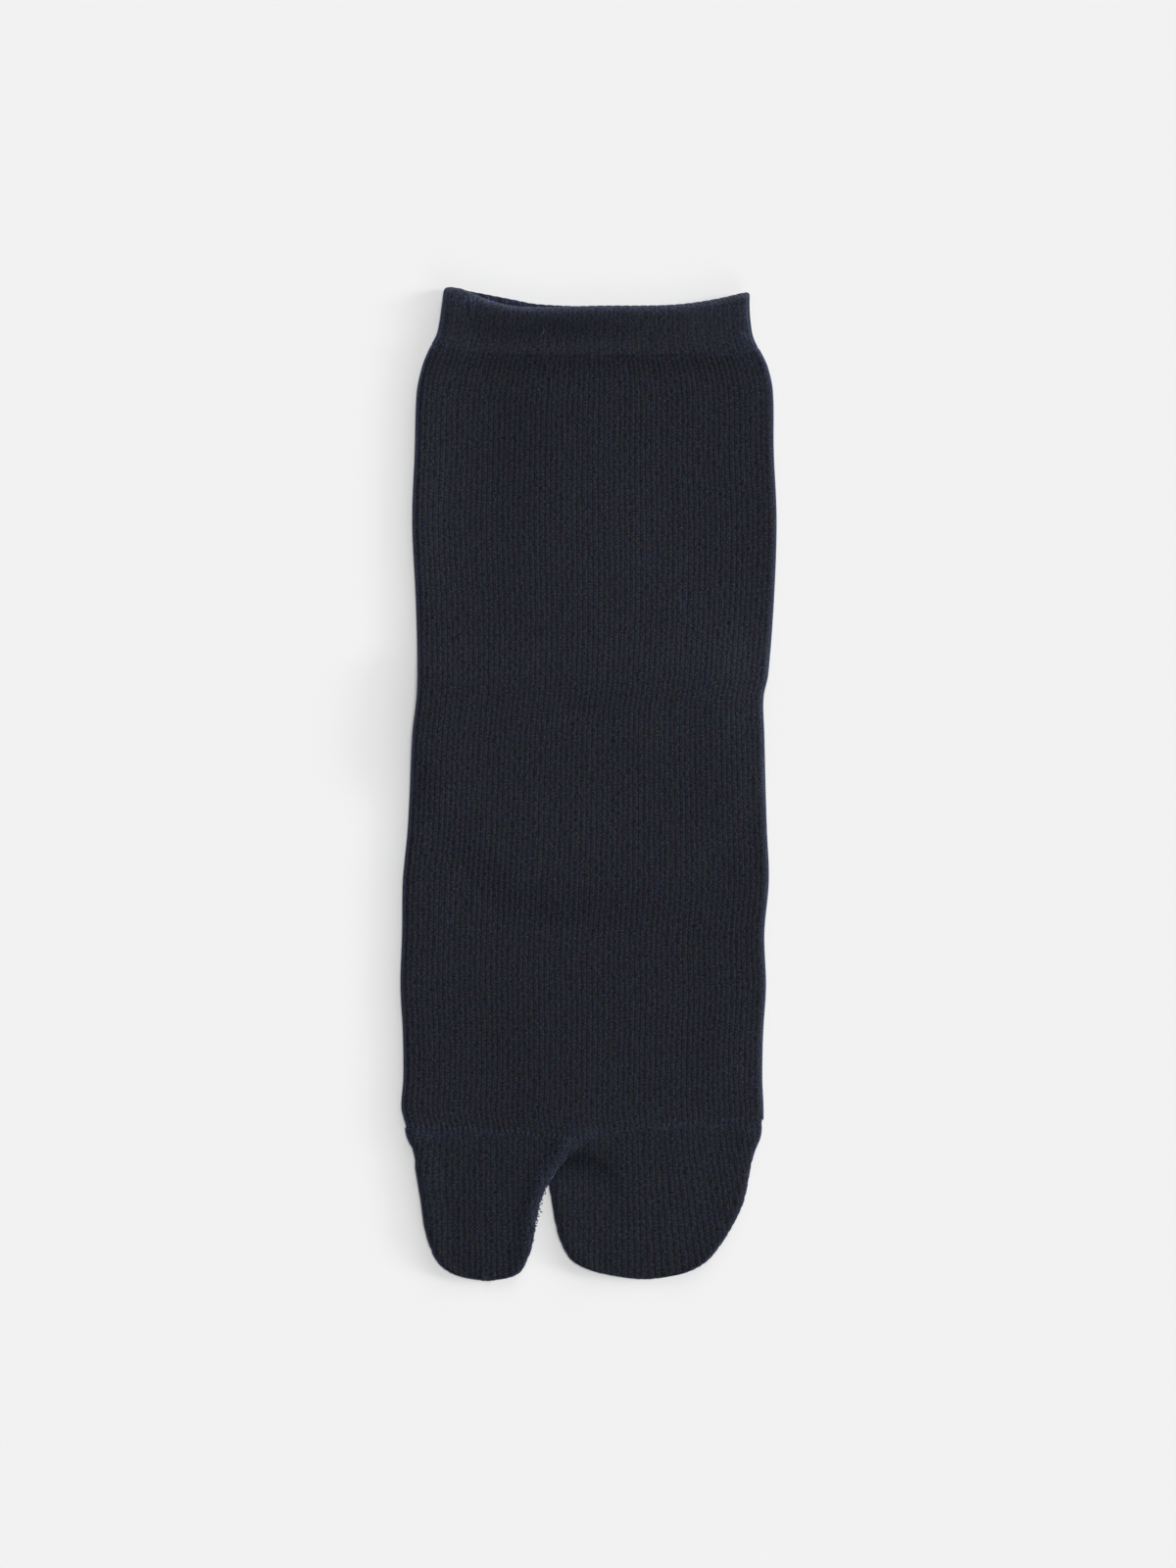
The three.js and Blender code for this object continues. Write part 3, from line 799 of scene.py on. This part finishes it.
def crotch_stitches(tree):
    """Small bumps of yarn crowded over the puckered rim, from under the seam down past the crotch."""
    rows = np.array(RIM_BAND)
    length = np.r_[0, np.cumsum(np.hypot(np.diff(rows[:, 0]), np.diff(rows[:, 1])))]
    paths = []
    t = np.linspace(0, 1, 5)
    for at in np.arange(0, length[-1], BUMP_STEP):
        x, y, half = (np.interp(at, length, rows[:, k]) for k in range(3))
        after, before = ([np.interp(at + step, length, rows[:, k]) for k in range(2)] for step in (1, -1))
        ahead = np.subtract(after, before)
        aside = np.array([ahead[1], -ahead[0]]) / math.hypot(*ahead)
        for across in np.arange(-half, half, BUMP_STEP_ACROSS):
            middle = np.array([x, y]) + aside * (across + RNG.uniform(-BUMP_STRAY_ACROSS, BUMP_STRAY_ACROSS))
            middle = middle + RNG.uniform(-BUMP_STRAY, BUMP_STRAY, 2)
            turn = RNG.uniform(0, math.pi)
            run = (t - 0.5) * RNG.uniform(*BUMP_LENGTH)
            path = np.stack([middle[0] + run * math.cos(turn), middle[1] + run * math.sin(turn), 0 * t], 1)
            paths.append(settled(path, tree, BUMP_ARCH * np.sin(math.pi * t) - YARN_SUNK))
    return paths


def toe_seam():
    """The linked stitches that join the toe pockets to the foot, all round the tube."""
    tree = surface("leg_foot", "big_toe", "four_toes")
    count = WALES_ROUND
    x, z, _ = section(*edges(OUTLINE, seam_line), SIDE_THICK, MIDDLE_THICK, 0.0, count)
    spot = np.stack([x, seam_line(x), z], 1)
    round_it = np.roll(spot, -1, axis=0) - np.roll(spot, 1, axis=0)
    out = np.cross([0, 1, 0], round_it)
    out /= np.linalg.norm(out, axis=1, keepdims=True)
    round_it /= np.linalg.norm(round_it, axis=1, keepdims=True)
    t = np.linspace(0, 1, 7)[:, None]
    paths = []
    for k in range(count):
        zigzag = float(mix(*ZIGZAG, smooth((x[k] + 4) / 24))) * (1 if k % 2 else -1)
        long = RNG.uniform(*(LONG_STITCH if x[k] < LONG_STITCHES_END else SHORT_STITCH))
        middle = spot[k] + [0, RNG.uniform(-0.2, 0.6), 0]
        path = middle + np.array([0, 1.0, 0]) * (t - 0.5) * long + round_it[k] * (t - 0.5) * 2 * zigzag
        arch = STITCH_ARCH * np.sin(math.pi * t) - YARN_SUNK
        if z[k] > SIDE_THICK / 2:
            path = settled(path, tree, arch[:, 0])
        else:
            path = path + out[k] * arch
        path[:, 2] = np.maximum(path[:, 2], SEAM_YARN)
        paths.append(path)
    paths += crotch_stitches(tree)
    return yarns("toe_seam", paths, RNG.uniform(0.8, 1.1, len(paths)) * SEAM_YARN)


def loose_fibres(sources):
    """Short curved fibres that stand off the knit, and the scraps of lint.

    Each source is a piece and how many fibres it grows."""
    paths = []
    for piece, amount in sources:
        mesh = piece.data
        places = np.empty(len(mesh.vertices) * 3)
        normals = np.empty(len(mesh.vertices) * 3)
        mesh.vertices.foreach_get("co", places)
        mesh.vertices.foreach_get("normal", normals)
        places = places.reshape(-1, 3) / MM - [SHIFT.x, SHIFT.y, 0]
        normals = normals.reshape(-1, 3)
        shows = np.flatnonzero((places[:, 2] > 1.0) & (normals[:, 2] > -0.55))
        weight = 1 + 2.5 * (1 - np.abs(normals[shows, 2]))
        for i in RNG.choice(shows, amount, p=weight / weight.sum()):
            steep = 1 - abs(normals[i, 2])
            long = RNG.uniform(*FIBRE_LENGTH) * (1 + 0.5 * steep)
            tangent = np.cross(normals[i], RNG.normal(size=3))
            tangent /= np.linalg.norm(tangent) + 1e-9
            t = np.linspace(0, 1, 4)[:, None]
            rise = RNG.uniform(*FIBRE_RISE)
            curl = np.cross(tangent, normals[i]) * RNG.normal(0, 0.35)
            bow = tangent * t + normals[i] * rise * np.sin(2.2 * t) + curl * t * t
            fibre = places[i] + long * bow
            fibre[:, 2] = np.maximum(fibre[:, 2], LOWEST_FIBRE)
            paths.append(fibre)
    radii = RNG.uniform(*FIBRE_RADIUS, len(paths))
    tree = surface(*(piece.name for piece, _ in sources))
    t = np.linspace(-0.5, 0.5, 4)
    for x, y, long, turn, bend in SCRAPS:
        ahead = np.array([math.cos(math.radians(turn)), math.sin(math.radians(turn))])
        aside = np.array([-ahead[1], ahead[0]])
        line = np.outer(t * long, ahead) + np.outer(bend * 4 * t * t, aside) + [x, y]
        paths.append(settled(np.c_[line, 0 * t], tree, 0.12))
    radii = np.r_[radii, np.full(len(SCRAPS), SCRAP_RADIUS)]
    return yarns("loose_fibres", paths, radii, sides=3)


pieces["toe_seam"] = toe_seam()
# How many fibres each piece grows
FIBRES = (("leg_foot", 5200), ("cuff", 900), ("big_toe", 700), ("four_toes", 900))
pieces["loose_fibres"] = loose_fibres([(pieces[name], amount) for name, amount in FIBRES])


# ---------------------------------------------------------------- the knit's material

# The pale blue of fibre tips, also used for the painted sheen on edges and folds
FUZZ_AND_SHEEN_COLOUR = (0.060, 0.078, 0.155)
HUE_BY_STITCH = 0.42
HUE_BY_RUN = 0.25
# How light the yarn is in all, and how much it varies by fibre, between a stitch's legs and a leg's halves
TONE_BASE, TONE_BY_FIBRE, TONE_BY_LEG, TONE_BY_HALF = 0.46, 0.40, 0.20, 0.26
KNIT_SURFACE = {
    "Specular IOR Level": 0.08,
    "Sheen Weight": 0.20,
    "Sheen Roughness": 0.30,
    "Sheen Tint": (0.46, 0.56, 1.0, 1.0),
}


class Nodes:
    """A short way to write a node tree."""

    def __init__(self, material):
        self.tree = material.node_tree
        self.tree.nodes.clear()

    def add(self, kind, **settings):
        node = self.tree.nodes.new(kind)
        for key, value in settings.items():
            setattr(node, key, value)
        return node

    def link(self, source, target):
        self.tree.links.new(source, target)

    def feed(self, socket, value):
        if isinstance(value, bpy.types.NodeSocket):
            self.link(value, socket)
        else:
            socket.default_value = value

    def math(self, operation, *inputs, clamp=False):
        node = self.add("ShaderNodeMath", operation=operation, use_clamp=clamp)
        for socket, value in zip(node.inputs, inputs):
            self.feed(socket, value)
        return node.outputs[0]

    def plus(self, a, b):
        return self.math("ADD", a, b)

    def minus(self, a, b):
        return self.math("SUBTRACT", a, b)

    def times(self, a, b):
        return self.math("MULTIPLY", a, b)

    def floor(self, value, per=1.0):
        """The number of the cell that a value is in, with per cells to a unit."""
        return self.math("FLOOR", self.times(value, per))

    def vector(self, x, y, z=0.0):
        node = self.add("ShaderNodeCombineXYZ")
        for socket, value in zip(node.inputs, (x, y, z)):
            self.feed(socket, value)
        return node.outputs[0]

    def noise(self, vector, scale, detail=2.0, roughness=0.5):
        node = self.add("ShaderNodeTexNoise")
        self.link(vector, node.inputs["Vector"])
        node.inputs["Scale"].default_value = scale
        node.inputs["Detail"].default_value = detail
        node.inputs["Roughness"].default_value = roughness
        return node.outputs["Fac"]

    def random(self, vector):
        node = self.add("ShaderNodeTexWhiteNoise", noise_dimensions="3D")
        self.link(vector, node.inputs["Vector"])
        return node.outputs["Value"]

    def ramp(self, value, low, high, to_low=0.0, to_high=1.0):
        node = self.add("ShaderNodeMapRange", clamp=True)
        self.link(value, node.inputs["Value"])
        numbers = {"From Min": low, "From Max": high, "To Min": to_low, "To Max": to_high}
        for name, number in numbers.items():
            node.inputs[name].default_value = number
        return node.outputs["Result"]

    def scaled(self, vector, by, offset):
        node = self.add("ShaderNodeVectorMath", operation="MULTIPLY_ADD")
        self.link(vector, node.inputs[0])
        node.inputs[1].default_value = (by, by, by)
        node.inputs[2].default_value = (offset, offset, offset)
        return node.outputs[0]

    def blend(self, factor, a, b, blend_type="MIX"):
        node = self.add("ShaderNodeMix", data_type="RGBA", blend_type=blend_type)
        self.feed(node.inputs[0], factor)
        self.feed(node.inputs[6], a)
        self.feed(node.inputs[7], b)
        return node.outputs[2]


def knit_material(name, dark, light, furrow):
    """Dyed cotton jersey: each wale is two slanted legs, and each leg a soft twisted yarn.

    furrow is how much painted shade darkens the furrows between wales, 0 to 1."""
    material = bpy.data.materials.new(name)
    material.use_nodes = True
    n = Nodes(material)
    uv = n.add("ShaderNodeUVMap", uv_map="knit").outputs["UV"]
    apart = n.add("ShaderNodeSeparateXYZ")
    n.link(uv, apart.inputs[0])
    u0, v0 = apart.outputs[0], apart.outputs[1]

    # Uneven yarn tension moves the stitches a little.
    pull = n.noise(n.vector(n.times(u0, 0.6), n.times(v0, 0.12)), 1.0, 3.0)
    u = n.plus(u0, n.times(n.minus(pull, 0.5), 0.16))
    slip = n.noise(n.vector(n.times(u0, 1.7), n.times(v0, 0.25), 4.0), 1.0, 1.0)
    v = n.plus(v0, n.times(n.minus(slip, 0.5), 0.9))

    # The stitch: a is 0 in the middle of a wale and 1 between two, and s runs 0 to 1 up each leg.
    signed = n.math("MULTIPLY_ADD", n.math("FRACT", u), 2.0, -1.0)
    a = n.math("ABSOLUTE", signed)
    between = n.math("POWER", n.ramp(a, 0.42, 1.0), 1.4)
    middle = n.ramp(a, 0.28, 0.0)
    risen = n.minus(v, n.times(a, 0.75))
    s = n.math("FRACT", risen)
    end = n.math("POWER", n.math("ABSOLUTE", n.math("MULTIPLY_ADD", s, 2.0, -1.0)), 4.0)
    turns = n.plus(n.times(signed, 2.2), n.times(s, 1.4))
    twist = n.math("SINE", n.times(turns, 6.283))
    fibre = n.noise(n.vector(n.times(u, 9.0), n.times(v, 5.0)), 1.0, 3.0, 0.6)
    crown = n.minus(1.0, n.times(between, 0.65))
    crown = n.minus(crown, n.times(middle, 0.2))
    yarn = n.times(crown, n.minus(1.0, n.times(end, 0.45)))
    height = n.plus(yarn, n.times(n.times(twist, crown), 0.06))
    height = n.plus(height, n.times(n.minus(fibre, 0.5), 0.4))

    # Tone: the two legs of a stitch and the two halves of a leg differ, and painted shade darkens the furrows
    # between wales and both tips of each leg.
    fibre_cell = n.vector(n.floor(u, 4.0), n.floor(v, 2.0), 8.0)
    stitch_cell = n.vector(n.floor(u), n.floor(risen), 3.0)
    half_cell = n.vector(n.floor(u, 4.0), n.floor(v), 7.0)
    dash = n.vector(n.floor(u, 2.0), n.floor(risen, 0.34))
    streak = n.noise(n.vector(n.times(u, 1.9), n.times(v, 0.09), 9.0), 1.0, 2.0)
    tone = n.math("MULTIPLY_ADD", n.random(fibre_cell), TONE_BY_FIBRE, TONE_BASE)
    for cell, side, amount in (
        (stitch_cell, n.math("SIGN", signed), TONE_BY_LEG),
        (half_cell, n.math("SIGN", n.minus(n.math("FRACT", v), 0.5)), TONE_BY_HALF),
    ):
        either = n.math("MULTIPLY_ADD", n.random(cell), 2 * amount, -amount)
        tone = n.plus(tone, n.times(either, side))
    tone = n.plus(tone, n.times(n.random(dash), 0.05))
    tone = n.plus(tone, n.times(n.ramp(streak, 0.25, 0.75), 0.05))
    tone = n.plus(tone, n.times(n.minus(fibre, 0.5), 0.4))
    # Painted shade: darker in the furrows between wales and at both tips of each leg
    furrow_shade = n.minus(1.0, n.times(between, furrow))
    furrow_shade = n.times(furrow_shade, n.minus(1.0, n.times(end, 0.25)))
    tone = n.math("MULTIPLY", tone, furrow_shade, clamp=True)
    colour = n.blend(tone, (*dark, 1), (*light, 1))

    # Hue: the fibres are dyed in slightly different blues, by stitch and in long soft runs.
    runs = n.add("ShaderNodeTexNoise")
    n.link(n.vector(n.times(u, 0.9), n.times(v, 0.10), 5.0), runs.inputs["Vector"])
    for socket, number in (("Scale", 1.0), ("Detail", 2.0)):
        runs.inputs[socket].default_value = number
    stitch = n.add("ShaderNodeTexWhiteNoise", noise_dimensions="3D")
    n.link(n.vector(n.floor(u, 3.0), n.floor(v, 1.7), 6.0), stitch.inputs["Vector"])
    for source, amount in ((stitch.outputs["Color"], HUE_BY_STITCH), (runs.outputs["Color"], HUE_BY_RUN)):
        colour = n.blend(1.0, colour, n.scaled(source, amount, 1 - amount / 2), "MULTIPLY")

    # Painted light and shade, with tone patches and the rim's painted highlight, make it lighter or darker,
    # and pale fibre tips, with painted sheen where the cloth turns edge on, speckle it.
    painted_light_tone = n.add("ShaderNodeAttribute", attribute_name="painted_light_tone", attribute_type="GEOMETRY").outputs["Fac"]
    toned_and_shaded = n.add("ShaderNodeVectorMath", operation="SCALE")
    n.link(colour, toned_and_shaded.inputs[0])
    n.link(n.plus(painted_light_tone, 1.0), toned_and_shaded.inputs["Scale"])
    fuzz_and_sheen_amount = n.add("ShaderNodeAttribute", attribute_name="fuzz_and_sheen", attribute_type="GEOMETRY").outputs["Fac"]
    grain = n.vector(n.floor(u, 3.0), n.floor(v, 1.6), 2.0)
    speckle = n.math("MULTIPLY_ADD", n.math("POWER", n.random(grain), 4.0), 4.0, 0.20)
    fuzz_and_sheen_mask = n.math("MULTIPLY", fuzz_and_sheen_amount, speckle, clamp=True)
    coat = n.blend(fuzz_and_sheen_mask, toned_and_shaded.outputs[0], (*FUZZ_AND_SHEEN_COLOUR, 1))

    shader = n.add("ShaderNodeBsdfPrincipled")
    n.link(coat, shader.inputs["Base Color"])
    n.link(n.ramp(fibre, 0.2, 0.8, 0.82, 0.98), shader.inputs["Roughness"])
    for socket, number in KNIT_SURFACE.items():
        shader.inputs[socket].default_value = number
    relief = n.add("ShaderNodeBump")
    relief.inputs["Strength"].default_value = 1.0
    relief.inputs["Distance"].default_value = 0.28 * MM
    n.link(height, relief.inputs["Height"])
    n.link(relief.outputs["Normal"], shader.inputs["Normal"])
    out = n.add("ShaderNodeOutputMaterial")
    n.link(shader.outputs[0], out.inputs["Surface"])
    return material


def yarn_material(name, dark, light, grain):
    """A plain cotton yarn, uneven in tone, for what is sewn on and what stands off."""
    material = bpy.data.materials.new(name)
    material.use_nodes = True
    n = Nodes(material)
    place = n.add("ShaderNodeTexCoord").outputs["Object"]
    tone = n.ramp(n.noise(place, grain, 3.0, 0.6), 0.3, 0.7)
    shader = n.add("ShaderNodeBsdfPrincipled")
    n.link(n.blend(tone, (*dark, 1), (*light, 1)), shader.inputs["Base Color"])
    n.link(n.ramp(n.noise(place, grain * 2.5), 0.2, 0.8, 0.8, 0.98), shader.inputs["Roughness"])
    shader.inputs["Specular IOR Level"].default_value = 0.2
    shader.inputs["Sheen Weight"].default_value = 0.08
    shader.inputs["Sheen Roughness"].default_value = 0.5
    shader.inputs["Sheen Tint"].default_value = (0.6, 0.68, 1.0, 1)
    relief = n.add("ShaderNodeBump")
    relief.inputs["Strength"].default_value = 0.5
    relief.inputs["Distance"].default_value = 0.05 * MM
    n.link(n.noise(place, grain * 6, 2.0), relief.inputs["Height"])
    n.link(relief.outputs["Normal"], shader.inputs["Normal"])
    out = n.add("ShaderNodeOutputMaterial")
    n.link(shader.outputs[0], out.inputs["Surface"])
    return material


DARK = (0.0022, 0.0024, 0.0034)
LIGHT = (0.0257, 0.0279, 0.0390)
TOE_LIGHT = (0.0241, 0.0270, 0.0377)
# The last number is how much painted shade darkens the furrows between wales
body_knit = knit_material("body_knit", DARK, LIGHT, 0.60)
cuff_knit = knit_material("cuff_knit", DARK, LIGHT, 0.06)
toe_knit = knit_material("toe_knit", DARK, TOE_LIGHT, 0.54)

seam_yarn = yarn_material("seam_yarn", (0.008, 0.009, 0.015), (0.034, 0.038, 0.062), 900.0)
fibre_fluff = yarn_material("fibre_fluff", (0.020, 0.024, 0.040), (0.085, 0.095, 0.140), 300.0)

FINISH = {
    "leg_foot": (body_knit, "leg_foot_tube", "body_knit"),
    "cuff": (cuff_knit, "cuff_band", "cuff_knit"),
    "heel_fold": (body_knit, "heel_pocket", "body_knit"),
    "big_toe": (toe_knit, "big_toe_pocket", "toe_knit"),
    "four_toes": (toe_knit, "four_toe_pocket", "toe_knit"),
}
TRIM = {"toe_seam": (seam_yarn, "toe_knit"), "loose_fibres": (fibre_fluff, "body_knit")}
for name, (material, slot) in TRIM.items():
    pieces[name].data.materials.append(material)
    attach(pieces[name], "root")
for name, (material, node, slot) in FINISH.items():
    piece = pieces[name]
    piece.data.materials.append(material)
    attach(piece, "root")
    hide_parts(node)


# ---------------------------------------------------------------- floor, light and camera

# In metres
FLOOR_Z = -0.05 * MM
FLOOR_REACH = 3.0
CAMERA_HEIGHT = 1.4
CAMERA_ASIDE = -0.00025
FRAME_HEIGHT = 0.384


def floor():
    mesh = bpy.data.meshes.new("floor")
    corners = [(x * FLOOR_REACH, y * FLOOR_REACH, FLOOR_Z) for x, y in ((-1, -1), (1, -1), (1, 1), (-1, 1))]
    mesh.from_pydata(corners, [], [(0, 1, 2, 3)])
    made = bpy.data.objects.new("floor", mesh)
    bpy.context.scene.collection.objects.link(made)
    material = bpy.data.materials.new("floor_paper")
    material.use_nodes = True
    shader = material.node_tree.nodes["Principled BSDF"]
    shader.inputs["Base Color"].default_value = (0.80, 0.80, 0.80, 1)
    shader.inputs["Roughness"].default_value = 0.95
    shader.inputs["Specular IOR Level"].default_value = 0.0
    mesh.materials.append(material)


def soft_light(name, turn, rise, spread, strength):
    """A far softbox: its compass turn from +x, its rise over the floor and its width, all in degrees."""
    data = bpy.data.lights.new(name, "SUN")
    data.energy = strength
    data.angle = math.radians(spread)
    light = bpy.data.objects.new(name, data)
    turn, rise = math.radians(turn), math.radians(rise)
    towards = Vector((math.cos(rise) * math.cos(turn), math.cos(rise) * math.sin(turn), math.sin(rise)))
    light.rotation_euler = towards.to_track_quat("Z", "Y").to_euler()
    light.location = towards * 2
    bpy.context.scene.collection.objects.link(light)


def camera():
    """Straight down on the sock, from far enough that its sides hardly show."""
    data = bpy.data.cameras.new("camera")
    data.sensor_fit = "VERTICAL"
    data.sensor_height = 36
    data.lens = data.sensor_height * CAMERA_HEIGHT / FRAME_HEIGHT
    data.clip_start, data.clip_end = 0.05, 20
    made = bpy.data.objects.new("camera", data)
    made.location = (SHIFT.x * MM + CAMERA_ASIDE, SHIFT.y * MM, CAMERA_HEIGHT)
    bpy.context.scene.collection.objects.link(made)
    bpy.context.scene.camera = made


floor()
# In the columns name, turn, rise, spread and strength
LIGHTS = (
    ("overhead", 60, 82, 16, 2.190),
    ("right_low", 6, 20, 15, 1.111),
    ("right_high", 6, 34, 20, 0.286),
    ("beyond_cuff", 70, 30, 40, 0.800),
    ("beyond_toes", -58, 30, 30, 0.400),
)
for light in LIGHTS:
    soft_light(*light)
world = bpy.data.worlds.new("studio")
world.use_nodes = True
world.node_tree.nodes["Background"].inputs["Color"].default_value = (1, 1, 1, 1)
world.node_tree.nodes["Background"].inputs["Strength"].default_value = 0.0554
bpy.context.scene.world = world
bpy.context.scene.view_settings.view_transform = "Standard"
camera()
